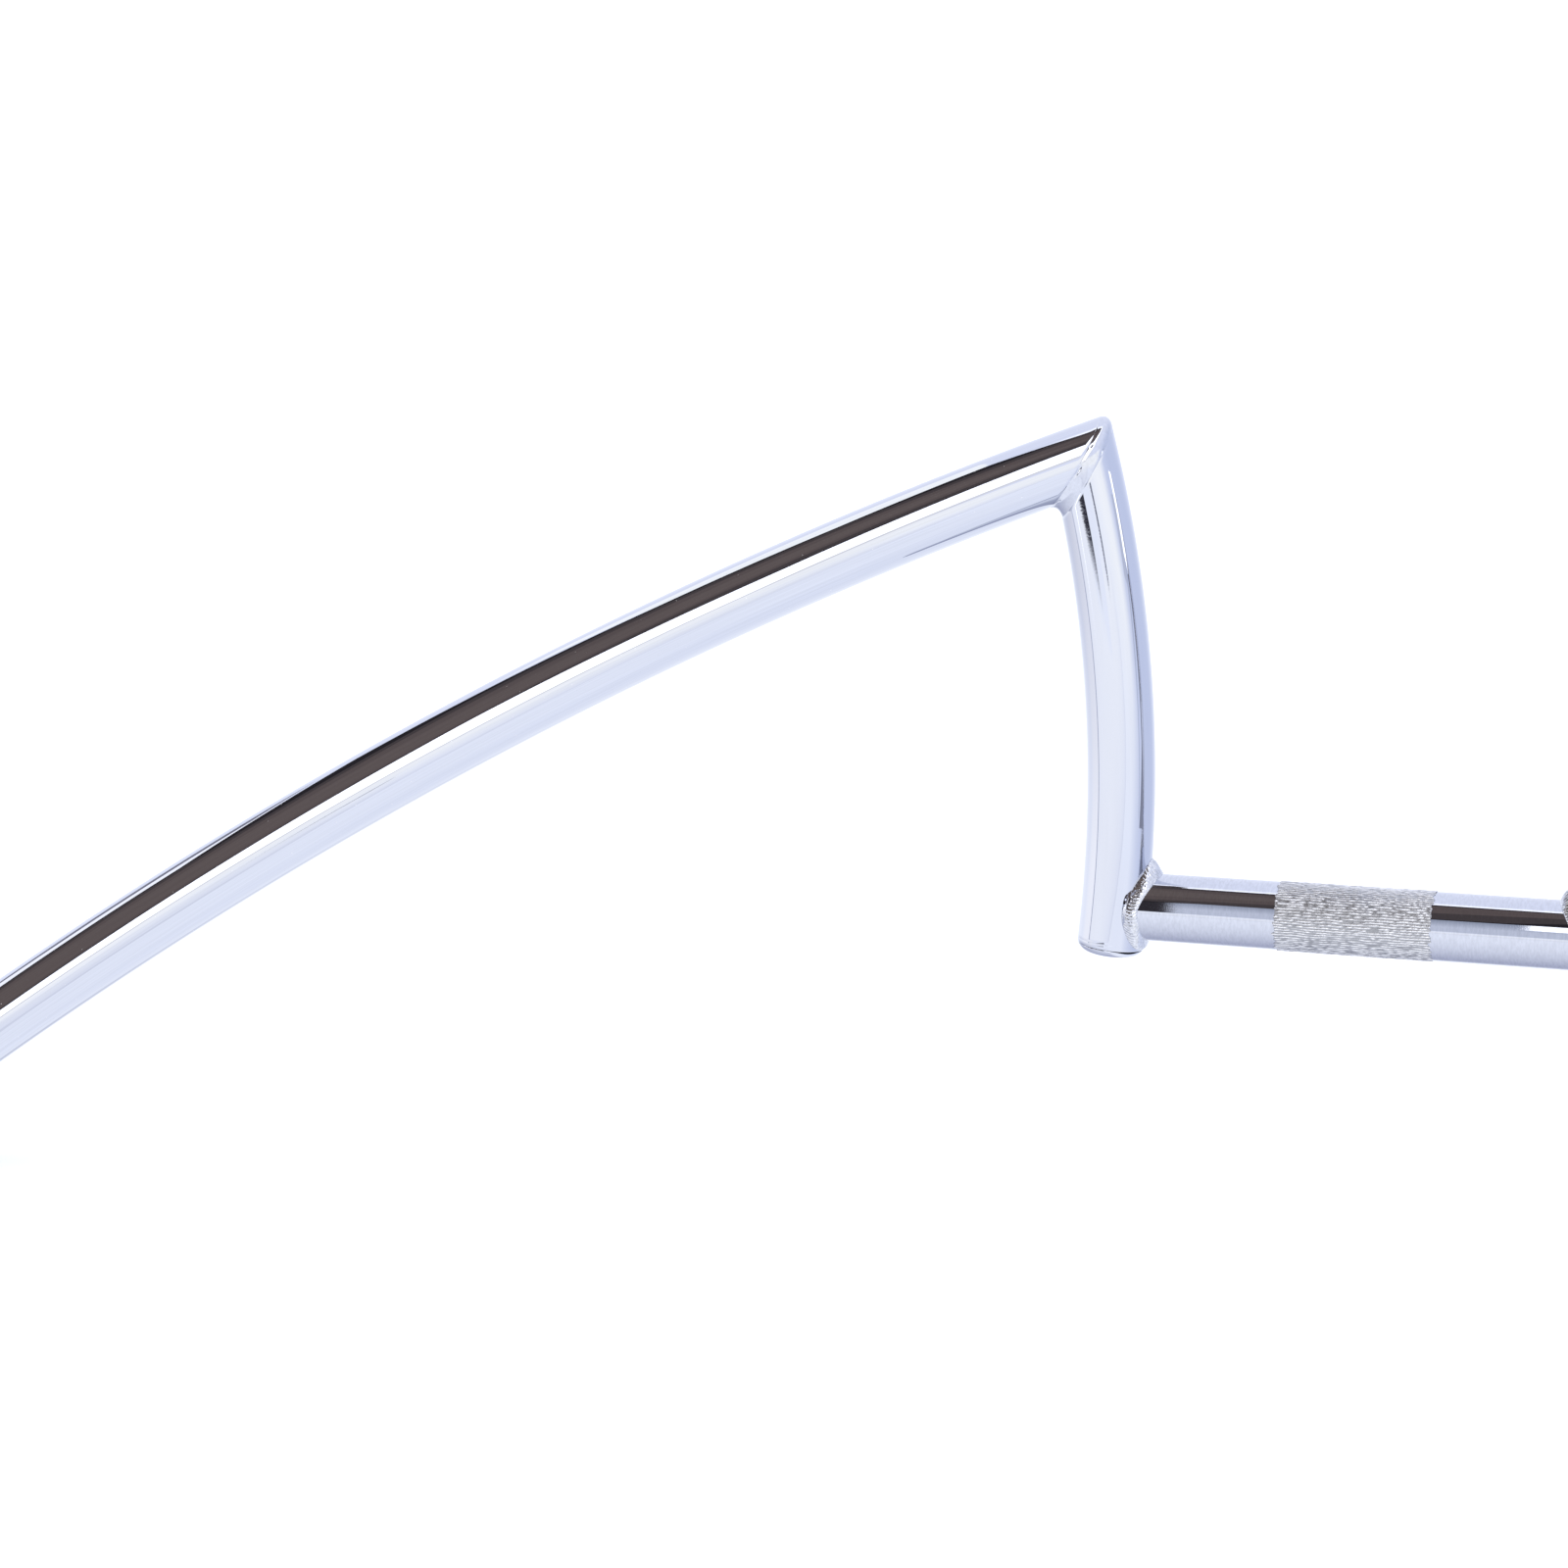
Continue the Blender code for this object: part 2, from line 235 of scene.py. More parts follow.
MITRE_WELD_CORNER_HALF = 0.0040
MITRE_WELD_FLAT_HALF = 0.0037
MITRE_WELD_CROWN = 0.00022
MITRE_WELD_SUNK_EDGE = 0.00002
MITRE_WELD_LAP = 0.0004
MITRE_WELD_THICKNESS = 0.0015
MITRE_WELD_AROUND = 192
# The grinder missed the weld's edge in a few places. Each pit has its turn, width and depth.
PITS = ((-0.14, 0.12, 1.4), (-1.12, 0.08, 1.2), (0.42, 0.04, 0.5))
PIT_DEPTH = 0.00024
PIT_PLACE = 0.74
PIT_BREADTH = 0.17


def mitre_weld_half(turn):
    """Half the ground band's width along each tube: widest in the two corners."""
    wider = MITRE_WELD_CORNER_HALF - MITRE_WELD_FLAT_HALF
    return MITRE_WELD_FLAT_HALF + wider * np.sin(turn) ** 4


def riser_mitre(side, turn, radius=TUBE_RADIUS):
    return mitre_distance(side, riser_place, RISER_LENGTH, turn, radius + 0 * turn)


def handle_mitre(side, turn, radius=TUBE_RADIUS):
    return mitre_distance(side, handle_place, 0.0, turn, radius + 0 * turn)


def pit_depth(side, turn):
    """How deep the pits are at each turn round the weld, in units of PIT_DEPTH."""
    depth_here = 0 * turn
    for place, width, depth in PITS:
        centre = place if side == "left" else math.pi - place
        away = np.abs((turn - centre + math.pi) % (2 * math.pi) - math.pi)
        depth_here = depth_here + depth * np.exp(-((away / width) ** 2))
    return depth_here


def mitre_weld_mesh(side):
    """The ground band across the mitre, and the weld metal below it."""
    turn = full_turn(MITRE_WELD_AROUND)
    half = mitre_weld_half(turn)
    ridge = direction(side, RISER_END_ANGLE - MITRE_HALF_ANGLE)
    away = plane_normal(side) * np.cos(turn)[:, None] + ridge * np.sin(turn)[:, None]
    away /= np.linalg.norm(away, axis=1)[:, None]

    def band(radius):
        """The band's two edges and the sharp line between them, at a radius from both axes."""
        first = riser_mitre(side, turn, radius)
        second = handle_mitre(side, turn, radius)
        size = radius + 0 * turn
        low = tube_surface(side, riser_place, first - half, turn, size)
        high = tube_surface(side, handle_place, second + half, turn, size)
        middle = tube_surface(side, riser_place, first, turn, size)
        middle = (middle + tube_surface(side, handle_place, second, turn, size)) / 2
        return low, middle, high

    def across(edges, place):
        """The ring at a place from -1 at the low edge to 1 at the high one."""
        low, middle, high = edges
        share = (place + 1) / 2
        return low * (1 - share) ** 2 + middle * 2 * share * (1 - share) + high * share**2

    pits = PIT_DEPTH * pit_depth(side, turn)
    rings = []
    edges = band(TUBE_RADIUS)
    for place in np.linspace(-1, 1, 33):
        curve = across(edges, place)
        lift = MITRE_WELD_CROWN * (1 - place**2) - MITRE_WELD_SUNK_EDGE * place**6
        uneven = np.array([ground_unevenness(point) for point in curve])
        lift = lift + uneven * (1 - place**4)
        lift = lift - pits * math.exp(-(((place - PIT_PLACE) / PIT_BREADTH) ** 2))
        rings.append(curve + away * lift[:, None])
    edges = band(TUBE_RADIUS - MITRE_WELD_THICKNESS)
    for place in np.linspace(1, -1, 7):
        rings.append(across(edges, place))
    return ring_mesh(f"{side}_corner_weld", rings)


def ground_unevenness(point):
    """The slight waves that hand grinding leaves."""
    place = Vector(point)
    return 0.000018 * noise.noise(place * 300) + 0.000003 * noise.noise(place * 1500)


# ---------------------------------------------------------------- clamp weld

WELD_TOP_LEG = 0.0052
WELD_BOTTOM_LEG = 0.0030
WELD_TOP_REACH = 0.0157
WELD_BOTTOM_REACH = 0.0114
WELD_FRONT_REACH = 0.0098
WELD_FRONT_TOE = math.radians(66)
# How the toe on the riser swings from top and bottom to the front: above 1 holds it back.
WELD_TOP_BOW = 1.24
WELD_BOTTOM_BOW = 0.65
WELD_TOP_CROWN = 0.0002
WELD_FRONT_CROWN = 0.0008
WELD_BOTTOM_CROWN = 0.0010
WELD_SUNK_EDGE = 0.00008
RIPPLE_PITCH = 0.00105
RIPPLE_HEIGHT = 0.00026
RIPPLE_LAG = 1.1
WELD_AROUND = 420
# The core that the bead closes round inside the tubes: how far it reaches along the clamp tube
# at the top and in front, and how deep it lies there.
CORE_TOP_REACH = 0.0105
CORE_FRONT_REACH = 0.004
CORE_TOP_DEPTH = 0.0012
CORE_FRONT_DEPTH = 0.0022


def riser_axis_at(side, height):
    """Where the riser's centreline is at heights near the clamp tube."""
    angle = np.arcsin(np.sin(RISER_START_ANGLE) + height / RISER_BEND_RADIUS)
    outward = RISER_BEND_RADIUS * (math.cos(RISER_START_ANGLE) - np.cos(angle))
    return to_world(side, outward, height)


def clamp_weld_mesh(side):
    """The fillet bead round the joint of riser and clamp tube, with its ripples."""
    inward = -SIDES[side]
    turn = full_turn(WELD_AROUND)
    upper = np.cos(turn) > 0
    leg = np.where(upper, WELD_TOP_LEG, WELD_BOTTOM_LEG)
    reach = np.where(upper, WELD_TOP_REACH, WELD_BOTTOM_REACH)
    bow = np.where(upper, WELD_TOP_BOW, WELD_BOTTOM_BOW)
    toe_turn = WELD_FRONT_TOE * np.sign(np.sin(turn)) * np.abs(np.sin(turn)) ** bow
    toe_height = np.cos(turn) * (TUBE_RADIUS + leg * np.cos(turn) ** 2)
    radius = corner_radius_at(toe_height)
    riser_toe = riser_axis_at(side, toe_height) + np.stack(
        [inward * radius * np.cos(toe_turn), radius * np.sin(toe_turn), 0 * turn], -1
    )

    far = WELD_FRONT_REACH + (reach - WELD_FRONT_REACH) * np.abs(np.cos(turn)) ** 1.4
    centre = riser_axis_at(side, 0.0)[0]
    clamp_toe = np.stack(
        [centre + inward * far, TUBE_RADIUS * np.sin(turn), TUBE_RADIUS * np.cos(turn)], -1
    )

    out = np.stack([inward * 0.35 + 0 * turn, np.sin(turn), np.cos(turn)], -1)
    out /= np.linalg.norm(out, axis=1)[:, None]
    path = (riser_toe + clamp_toe) / 2
    length = np.concatenate([[0], np.cumsum(np.linalg.norm(np.diff(path, axis=0), axis=1))])
    total = length[-1] + np.linalg.norm(path[0] - path[-1])
    ripples = round(total / RIPPLE_PITCH)
    flat = np.abs(np.sin(turn))
    rings = []
    for share in np.linspace(0, 1, 33):
        bulge = 4 * share * (1 - share)
        top_crown = WELD_TOP_CROWN + WELD_FRONT_CROWN * flat**2
        crown = bulge * np.where(upper, top_crown, WELD_BOTTOM_CROWN)
        phase = ripples * length / total + RIPPLE_LAG * bulge
        ripple = np.abs(np.sin(math.pi * phase)) ** 0.7 - 0.7
        chord = riser_toe * (1 - share) + clamp_toe * share
        rough = np.array([weld_roughness(point) for point in chord])
        lift = crown + bulge**0.35 * (RIPPLE_HEIGHT * ripple + rough)
        lift = lift - WELD_SUNK_EDGE * (1 - bulge) ** 4
        rings.append(chord + out * lift[:, None])
    core_reach = np.hypot(CORE_TOP_REACH * np.cos(turn), CORE_FRONT_REACH * np.sin(turn))
    core = np.stack([
        centre + inward * core_reach,
        (TUBE_RADIUS - CORE_FRONT_DEPTH) * np.sin(turn),
        (TUBE_RADIUS - CORE_TOP_DEPTH) * np.cos(turn),
    ], -1)
    for share in (0.35, 0.8):
        rings.append(clamp_toe + (core - clamp_toe) * share)
    for share in (0.8, 0.35):
        rings.append(riser_toe + (core - riser_toe) * share)
    return ring_mesh(f"{side}_clamp_bead", rings)


def weld_roughness(point):
    """The lumps of a weld that was left as it was laid."""
    place = Vector(point)
    return 0.00026 * noise.noise(place * 330) + 0.00013 * noise.noise(place * 1000)


# ---------------------------------------------------------------- clamp tube and knurl

COPE_OVERLAP = 0.0004
COPE_LEAST_REACH = 0.0052


def clamp_tube_mesh():
    """The hollow clamp tube, coped at both ends to run a little way into the risers."""
    turn = full_turn(TUBE_AROUND)

    def ends(radius):
        """Where the left and the right end of each line of a surface lie."""
        y, z = radius * np.sin(turn), radius * np.cos(turn)
        found = []
        for side in ("left", "right"):
            axis = riser_axis_at(side, z)
            clear = (TUBE_RADIUS - COPE_OVERLAP) ** 2 - (y - axis[:, 1]) ** 2
            reach = np.maximum(np.sqrt(np.maximum(clear, 0)), COPE_LEAST_REACH)
            found.append(axis[:, 0] - SIDES[side] * reach)
        return found

    outside, inside = np.linspace(0, 1, 121), np.linspace(1, 0, 25)
    rings = []
    for radius, shares in ((TUBE_RADIUS, outside), (BORE_RADIUS, inside)):
        left, right = ends(radius)
        y, z = radius * np.sin(turn), radius * np.cos(turn)
        for share in shares:
            rings.append(np.stack([left + (right - left) * share, y, z], -1))
    return ring_mesh("clamp_tube_smooth", rings)


KNURL_ROWS = 300
POINTS_PER_RIDGE = 8
KNURL_ROOT = 0.00002
KNURL_RISE = 0.00020
KNURL_GRAIN = 0.06
# How far the ridges wander sideways over long and short stretches, in ridge widths.
LONG_WANDER = 0.13
SHORT_WANDER = 0.05
# The band's edges: how ragged, how far the outermost row draws in, and where they go under.
EDGE_RAGGED = 0.0003
EDGE_DRAWN_IN = 0.0002
EDGE_SETBACK = 0.0012
EDGE_SUNK = 0.0008


def knurl_mesh():
    """The rolled band: rows of short proud dashes, each row a little out of line."""
    rows, around = KNURL_ROWS, KNURL_RIDGES * POINTS_PER_RIDGE
    random = np.random.default_rng(7)
    turn = full_turn(around)
    x = np.linspace(-KNURL_LENGTH / 2, KNURL_LENGTH / 2, rows)

    wander = smooth_noise(random, rows, KNURL_RIDGES, 16.0, 1.2) * LONG_WANDER
    wander = wander + smooth_noise(random, rows, KNURL_RIDGES, 4.0, 0.3) * SHORT_WANDER
    dash = smooth_noise(random, rows, KNURL_RIDGES, 3.0, 0.3)
    height = np.clip(0.74 + 0.34 * dash, 0.0, 1.0)

    ridge = np.arange(around) // POINTS_PER_RIDGE
    inside = (np.arange(around) % POINTS_PER_RIDGE + 0.5) / POINTS_PER_RIDGE - 0.5
    offset = (inside[None, :] - wander[:, ridge] + 0.5) % 1.0 - 0.5
    profile = np.cos(math.pi * offset) ** 2
    grain = random.normal(0, 1, (rows, around)) * KNURL_GRAIN
    proud = np.clip(profile * height[:, ridge] + grain, 0, 1)
    ragged = smooth_noise(random, 1, around, 1.0, 3.0)[0] * EDGE_RAGGED

    def ring(place, radius):
        return np.stack([place + 0 * turn, radius * np.sin(turn), radius * np.cos(turn)], -1)

    rings = []
    for row in range(rows):
        share = row / (rows - 1)
        edge = share**8 - (1 - share) ** 8
        place = x[row] + ragged * abs(edge) - EDGE_DRAWN_IN * edge
        rings.append(ring(place, TUBE_RADIUS + KNURL_ROOT + KNURL_RISE * proud[row]))
    # Both edges turn down into the tube.
    for end in (1, -1):
        rings.append(ring(end * (KNURL_LENGTH / 2 - EDGE_SETBACK), TUBE_RADIUS - EDGE_SUNK))
    mesh = ring_mesh("knurl_band", rings)
    heights = np.concatenate([proud.ravel(), np.zeros(2 * around)])
    crest = mesh.attributes.new("crest", "FLOAT", "POINT")
    crest.data.foreach_set("value", heights.astype(np.float32))
    return mesh


def smooth_noise(random, rows, columns, along, beside):
    """Unit random values on a grid, smoothed by so many rows and columns, and wrapping round."""
    values = random.normal(0, 1, (rows, columns))
    for axis, width in ((0, along), (1, beside)):
        count = values.shape[axis]
        distance = np.minimum(np.arange(count), count - np.arange(count))
        kernel = np.exp(-0.5 * (distance / max(width, 0.05)) ** 2)
        spectrum = np.fft.fft(kernel)
        shape = [1, 1]
        shape[axis] = count
        values = np.fft.ifft(np.fft.fft(values, axis=axis) * spectrum.reshape(shape), axis=axis).real
    return values / values.std()


# ---------------------------------------------------------------- riser ends

SEAM_HEIGHT = -0.0134
SEAM_DEPTH = 0.0009
SEAM_LIP = 0.00005
SEAM_LEAST_GAP = 0.00012
SEAM_EXTRA_GAP = 0.00065
SEAM_WIDEST_TURN = 0.45
SEAM_WIDE_STRETCH = 0.40
CAP_WAVINESS = 0.00002
CAP_WELD_WAVINESS = 0.00004
PLUG_RADIUS = BORE_RADIUS - 0.0012
PLUG_HEIGHT = 0.004
FLAT_RADIUS = 0.003
# The mesh of the cap closes through a pinhole on its axis.
PINHOLE_RADIUS = 0.0004


def riser_end_frame(side):
    """The origin on the riser's straightened axis, and its directions along and across."""
    lower_end = RISER_START_ANGLE - RISER_TAIL / RISER_BEND_RADIUS
    along = direction(side, lower_end)
    outward, up, _ = riser_place(-RISER_TAIL)
    origin = to_world(side, outward, up) + along * RISER_TAIL
    return origin, along, plane_normal(side), direction(side, lower_end - math.pi / 2)


def corner_radius_at(height):
    """The riser end's outside radius at a height: straight, then rounded under."""
    below = np.maximum(0.0, (CAP_CORNER_RADIUS - CAP_DROP) - height)
    inner = np.sqrt(np.maximum(CAP_CORNER_RADIUS**2 - below**2, 0.0))
    return TUBE_RADIUS - CAP_CORNER_RADIUS + inner


def seam_gap(side, turn):
    """How wide the seam above the cap stands open: widest beside the clamp weld, in front."""
    from_front = turn if side == "left" else math.pi - turn
    from_widest = (from_front - SEAM_WIDEST_TURN + math.pi) % (2 * math.pi) - math.pi
    wide = np.exp(-((from_widest / SEAM_WIDE_STRETCH) ** 2))
    return SEAM_LEAST_GAP + SEAM_EXTRA_GAP * wide


def turned_rings(side, profile):
    """Rings of a turned piece on the riser's lower end, and where they are on the unbent tube.

    The profile has a radius, a height and a waviness for each ring.
    """
    origin, along, flat, upper = riser_end_frame(side)
    turn = full_turn(TUBE_AROUND)
    rings = []
    straight = []
    for radius, height, uneven in profile:
        height = height + 0 * turn
        radius = radius + 0 * turn
        offset = flat * np.cos(turn)[:, None] + upper * np.sin(turn)[:, None]
        ring = origin + along * height[:, None] + offset * radius[:, None]
        if uneven:
            wave = np.array([uneven * noise.noise(Vector(point) * 500) for point in ring])
            ring = ring + offset * wave[:, None]
        rings.append(ring)
        straight.append(np.stack([height, radius * np.cos(turn), radius * np.sin(turn)], -1))
    return rings, straight


def cap_weld_mesh(side):
    """The ring of weld metal that fills the joint of riser and cap, ground to the same curve."""
    top = -RISER_TAIL
    profile = [(BORE_RADIUS + 0.0005, top + 0.0001, 0), (TUBE_RADIUS - 0.0003, top + 0.0001, 0)]
    for share in (0.0, 0.01, *np.linspace(0.1, 1, 11)):
        height = top + (SEAM_HEIGHT - top) * share
        profile.append((float(corner_radius_at(height)), height, CAP_WELD_WAVINESS * share))
    radius = float(corner_radius_at(SEAM_HEIGHT))
    profile.append((radius - 0.0001, SEAM_HEIGHT - SEAM_LIP, 0))
    profile.append((radius - SEAM_DEPTH, SEAM_HEIGHT, 0))
    profile.append((BORE_RADIUS - 0.0005, SEAM_HEIGHT + 0.0003, 0))
    return ring_mesh(f"{side}_cap_seam", *turned_rings(side, profile))


def riser_cap_mesh(side):
    """The closed cap: a plug in the bore, a rim under the seam, a rounded corner, a flat bottom."""
    top = SEAM_HEIGHT - SEAM_LIP - seam_gap(side, full_turn(TUBE_AROUND))
    radius = corner_radius_at(top)
    profile = [
        (PINHOLE_RADIUS, top + PLUG_HEIGHT, 0), (PLUG_RADIUS, top + PLUG_HEIGHT, 0),
        (PLUG_RADIUS, top + 0.0004, 0), (radius - SEAM_DEPTH, top, 0),
        (radius - 0.0001, top + 0.00003, 0),
    ]
    first = np.arcsin((CAP_CORNER_RADIUS - CAP_DROP - top) / CAP_CORNER_RADIUS)
    for share in np.linspace(0, 1, 14):
        angle = first + (math.pi / 2 - first) * share
        reach = TUBE_RADIUS - CAP_CORNER_RADIUS + CAP_CORNER_RADIUS * np.cos(angle)
        height = CAP_CORNER_RADIUS - CAP_DROP - CAP_CORNER_RADIUS * np.sin(angle)
        profile.append((reach, height, CAP_WAVINESS))
    profile.append((FLAT_RADIUS, -CAP_DROP, 0))
    profile.append((PINHOLE_RADIUS, -CAP_DROP, 0))
    return ring_mesh(f"{side}_end_cap", *turned_rings(side, profile))


# ---------------------------------------------------------------- materials


class Nodes:
    """A short way to add and join shader nodes."""

    def __init__(self, tree):
        self.tree = tree

    def add(self, kind, **settings):
        node = self.tree.nodes.new(kind)
        for key, value in settings.items():
            if key in node.inputs:
                node.inputs[key].default_value = value
            else:
                setattr(node, key, value)
        return node

    def join(self, output, target):
        self.tree.links.new(output, target)

    def math(self, operation, first, second, clamp=False):
        node = self.tree.nodes.new("ShaderNodeMath")
        node.operation = operation
        node.use_clamp = clamp
        for socket, value in zip(node.inputs, (first, second)):
            if isinstance(value, (int, float)):
                socket.default_value = value
            else:
                self.join(value, socket)
        return node.outputs[0]

    def share(self, value, zero, one):
        """0 to 1 as a value goes from zero to one, either way round."""
        return self.math("DIVIDE", self.math("SUBTRACT", value, zero), one - zero, clamp=True)

    def ramp(self, value, stops):
        """A colour ramp. stops are (position, colour) pairs."""
        node = self.tree.nodes.new("ShaderNodeValToRGB")
        elements = node.color_ramp.elements
        while len(elements) < len(stops):
            elements.new(0.5)
        for element, (position, colour) in zip(elements, stops):
            element.position = position
            element.color = (*colour, 1.0)
        self.join(value, node.inputs["Fac"])
        return node.outputs["Color"]

    def mix(self, base, mask, colour):
        """The base, a colour or a node's output, with a colour over it where the mask is 1."""
        node = self.add("ShaderNodeMix", data_type="RGBA")
        self.join(mask, node.inputs["Factor"])
        if isinstance(base, tuple):
            node.inputs["A"].default_value = (*base, 1.0)
        else:
            self.join(base, node.inputs["A"])
        node.inputs["B"].default_value = (*colour, 1.0)
        return node.outputs["Result"]

    def scaled(self, vector, scale):
        node = self.tree.nodes.new("ShaderNodeMapping")
        node.inputs["Scale"].default_value = scale
        self.join(vector, node.inputs["Vector"])
        return node.outputs["Vector"]

    def noise(self, vector, scale, detail, roughness):
        node = self.add("ShaderNodeTexNoise", Scale=scale, Detail=detail, Roughness=roughness)
        self.join(vector, node.inputs["Vector"])
        return node.outputs["Fac"]

    def attribute(self, name, output):
        return self.add("ShaderNodeAttribute", attribute_name=name).outputs[output]

    def bump(self, height, distance, normal=None):
        """The normal with bumps on it, of a height from 0 to 1 times a distance."""
        node = self.add("ShaderNodeBump", Strength=1.0, Distance=distance)
        self.join(height, node.inputs["Height"])
        if normal:
            self.join(normal, node.inputs["Normal"])
        return node.outputs["Normal"]


def metal(name):
    """A metal material with its nodes, its shader and the place on the unbent tube."""
    material = bpy.data.materials.new(name)
    material.use_nodes = True
    nodes = Nodes(material.node_tree)
    shader = material.node_tree.nodes["Principled BSDF"]
    shader.inputs["Metallic"].default_value = 1.0
    return material, nodes, shader, nodes.attribute("straight", "Vector")


LEAST_ROUGHNESS = 0.012
WRINKLE_HEIGHT = 3.5e-6


def chrome(
    name, colour, roughness, spread, streaks, streak_height, waves, wave_height, grain, grain_depth,
    dust=0.0, wrinkles=None,
):
    """Polished chrome plate.

    spread is how far the roughness varies. streaks is the scale of the polishing marks along
    (straight x) and across (y, z) the tube, waves that of the softer unevenness below the plate,
    and grain that of its slight change of tone. dust is the scale of the dust specks. wrinkles is
    where along the tube small cross wrinkles begin and where they are at their full.
    """
    material, nodes, shader, place = metal(name)
    marks = nodes.noise(nodes.scaled(place, streaks), 1.0, 3.0, 0.6)
    cloud = nodes.noise(place, 90.0, 3.0, 0.55)
    swell = nodes.noise(nodes.scaled(place, waves), 1.0, 1.0, 0.5)
    tone = nodes.noise(nodes.scaled(place, grain), 1.0, 2.0, 0.6)

    rough = nodes.math("MULTIPLY", nodes.math("SUBTRACT", marks, 0.5), spread)
    haze = nodes.math("MULTIPLY", nodes.math("SUBTRACT", cloud, 0.45), spread * 1.2)
    rough = nodes.math("ADD", nodes.math("ADD", rough, haze), roughness)
    darker = tuple(channel * (1 - grain_depth) for channel in colour)
    tint = nodes.ramp(tone, [(0.3, darker), (0.7, colour)])

    if dust:
        cells = nodes.add("ShaderNodeTexVoronoi", Scale=dust, Randomness=1.0)
        nodes.join(place, cells.inputs["Vector"])
        speck = nodes.math("LESS_THAN", cells.outputs["Distance"], 0.045)
        tint = nodes.mix(tint, speck, (0.75, 0.75, 0.78))
        rough = nodes.math("ADD", rough, nodes.math("MULTIPLY", speck, 0.35))
    nodes.join(tint, shader.inputs["Base Color"])
    nodes.join(nodes.math("MAXIMUM", rough, LEAST_ROUGHNESS), shader.inputs["Roughness"])

    normal = nodes.bump(swell, wave_height, nodes.bump(marks, streak_height))
    if wrinkles:
        split = nodes.add("ShaderNodeSeparateXYZ")
        nodes.join(place, split.inputs[0])
        strength = nodes.share(split.outputs["X"], *wrinkles)
        creases = nodes.noise(nodes.scaled(place, (1900, 260, 260)), 1.0, 2.0, 0.6)
        normal = nodes.bump(nodes.math("MULTIPLY", creases, strength), WRINKLE_HEIGHT, normal)
    nodes.join(normal, shader.inputs["Normal"])
    return material


def knurled():
    """The knurl's chrome: painted shade in its grooves and a painted highlight on its crests, set by
    the crest height.
    """
    material, nodes, shader, place = metal("knurl_chrome")
    crest = nodes.attribute("crest", "Fac")
    speckle = nodes.noise(nodes.scaled(place, (900, 2600, 2600)), 1.0, 3.0, 0.7)
    uneven = nodes.math("MULTIPLY", nodes.math("SUBTRACT", speckle, 0.5), 0.5)
    # The ramp paints shade into the grooves and a highlight onto the crests, the stop named top.
    painted_groove_shade, flank, top = (0.36, 0.365, 0.385), (0.58, 0.585, 0.615), (0.92, 0.925, 0.95)
    stops = [(0.05, painted_groove_shade), (0.45, flank), (0.90, top)]
    nodes.join(nodes.ramp(nodes.math("ADD", crest, uneven), stops), shader.inputs["Base Color"])
    rough = nodes.math("ADD", nodes.math("MULTIPLY", speckle, 0.25), 0.26)
    nodes.join(rough, shader.inputs["Roughness"])
    nodes.join(nodes.bump(speckle, 1.0e-5), shader.inputs["Normal"])
    return material


CHROME = (0.600, 0.622, 0.700)
# The weld bead's chrome is painted lighter than the tubes', a painted highlight that stands for its
# bright glints.
WELD_CHROME_WITH_PAINTED_HIGHLIGHT = (0.70, 0.715, 0.77)
handle_chrome = chrome(
    "handle_chrome", CHROME, roughness=0.028, spread=0.024,
    streaks=(25, 9000, 9000), streak_height=2.0e-7, waves=(10, 900, 900), wave_height=4.0e-7,
    grain=(14, 2300, 2300), grain_depth=0.07, dust=260.0,
)
riser_chrome = chrome(
    "riser_chrome", CHROME, roughness=0.033, spread=0.030,
    streaks=(3600, 500, 500), streak_height=4.0e-7, waves=(60, 700, 700), wave_height=6.0e-7,
    grain=(30, 500, 500), grain_depth=0.02, wrinkles=(0.096, 0.126),
)
clamp_chrome = chrome(
    "clamp_chrome", CHROME, roughness=0.014, spread=0.014,
    streaks=(5200, 900, 900), streak_height=4.0e-7, waves=(300, 700, 700), wave_height=2.5e-7,
    grain=(1500, 500, 500), grain_depth=0.12,
)
knurl_chrome = knurled()
bead_chrome = chrome(
    "bead_chrome", WELD_CHROME_WITH_PAINTED_HIGHLIGHT, roughness=0.06, spread=0.07,
    streaks=(2600, 2600, 2600), streak_height=8.0e-6, waves=(800, 800, 800), wave_height=1.2e-5,
    grain=(1300, 1300, 1300), grain_depth=0.28,
)
ground_chrome = chrome(
    "ground_chrome", CHROME, roughness=0.050, spread=0.045,
    streaks=(1800, 1800, 1800), streak_height=1.0e-6, waves=(500, 500, 500), wave_height=3.0e-6,
    grain=(900, 900, 900), grain_depth=0.08,
)


# ---------------------------------------------------------------- the bar

for side in SIDES:
    add_piece(
        f"{side}_handle",
        bent_tube(
            f"{side}_handle", side, handle_place,
            lambda turn: handle_mitre(side, turn) + mitre_weld_half(turn) - MITRE_WELD_LAP,
            lambda turn: HANDLE_LENGTH + 0 * turn,
            step=0.0015,
        ),
        handle_chrome, "tube_chrome", f"{side}_handle_tube",
    )
    add_piece(
        f"{side}_riser",
        bent_tube(
            f"{side}_riser", side, riser_place,
            lambda turn: -RISER_TAIL + 0 * turn,
            lambda turn: riser_mitre(side, turn) - mitre_weld_half(turn) + MITRE_WELD_LAP,
            step=0.0012, first_rim=SHARP_RIM,
        ),
        riser_chrome, "tube_chrome", f"{side}_riser_tube",
    )
    add_piece(
        f"{side}_corner_weld", mitre_weld_mesh(side), ground_chrome, "ground_weld",
        f"{side}_mitre_weld",
    )
    add_piece(
        f"{side}_clamp_bead", clamp_weld_mesh(side), bead_chrome, "weld_bead", f"{side}_clamp_weld"
    )
    add_piece(
        f"{side}_cap_seam", cap_weld_mesh(side), riser_chrome, "ground_weld", f"{side}_cap_weld"
    )
    add_piece(
        f"{side}_end_cap", riser_cap_mesh(side), riser_chrome, "tube_chrome", f"{side}_riser_cap"
    )
